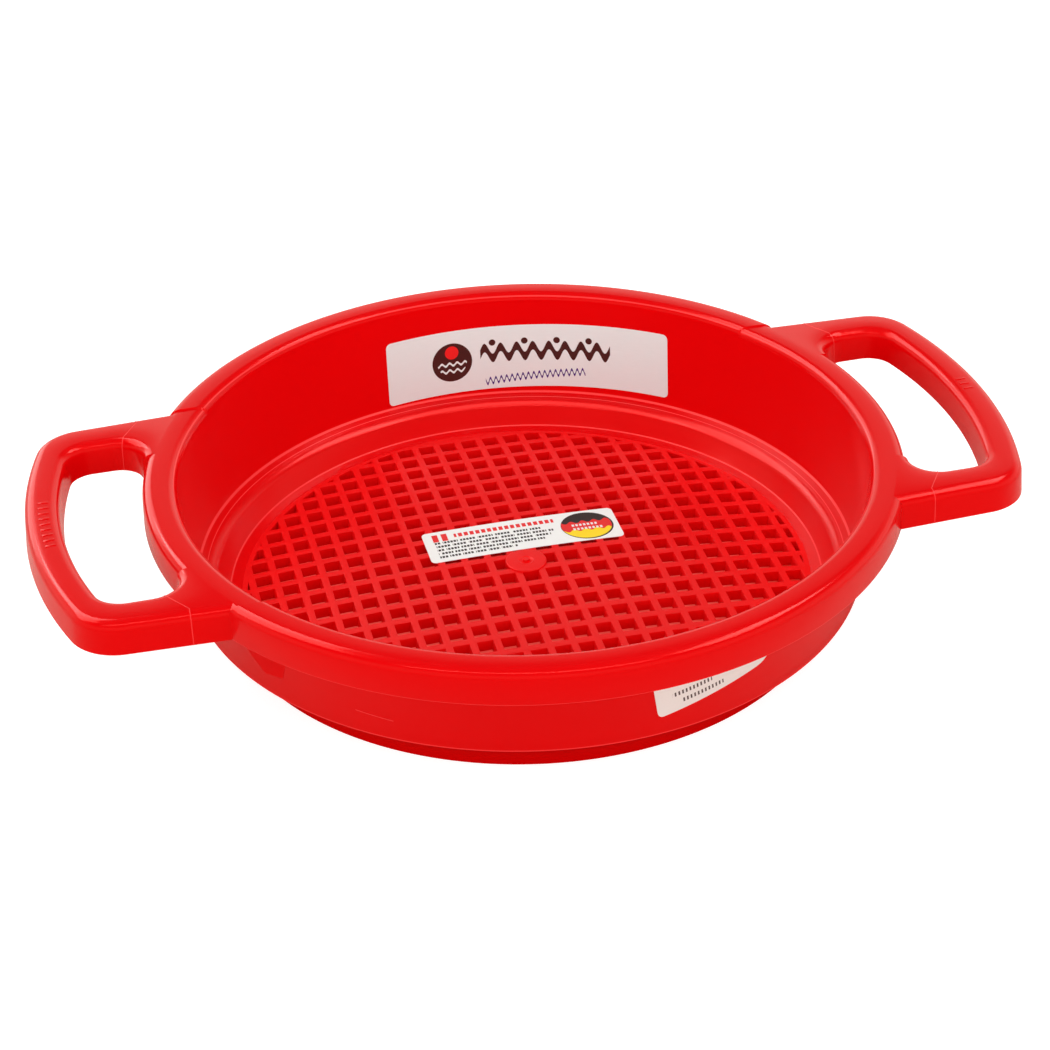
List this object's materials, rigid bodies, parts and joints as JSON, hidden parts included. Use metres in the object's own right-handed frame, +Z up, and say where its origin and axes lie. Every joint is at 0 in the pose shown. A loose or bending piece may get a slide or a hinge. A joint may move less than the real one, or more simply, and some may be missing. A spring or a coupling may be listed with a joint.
{
  "type": "two-handled sand sieve",
  "caption": "Round sand sieve with a stepped bowl, a wide rim with a hanging skirt, a finger-grip handle loop at each side and a domed floor of small oblong holes.",
  "frame": {"origin": "centre of the foot ring, on the surface that the sieve stands on", "axes": "+X along the handles' axis towards the right handle, +Z up out of the open bowl, so the floor label lies on the +Y side of the middle"},
  "size_m": [0.2856, 0.219, 0.045],
  "materials": {
    "red_plastic": "smooth glossy injection-moulded plastic, coloured right through",
    "label": "thin semi-matt adhesive film"
  },
  "bodies": {
    "root": {"bowl": "red_plastic", "sieve_floor": "red_plastic", "centre_disc": "red_plastic", "rim": "red_plastic", "left_handle": "red_plastic", "right_handle": "red_plastic", "wall_label": "label", "floor_label": "label", "outer_label": "label"}
  },
  "joints": []
}
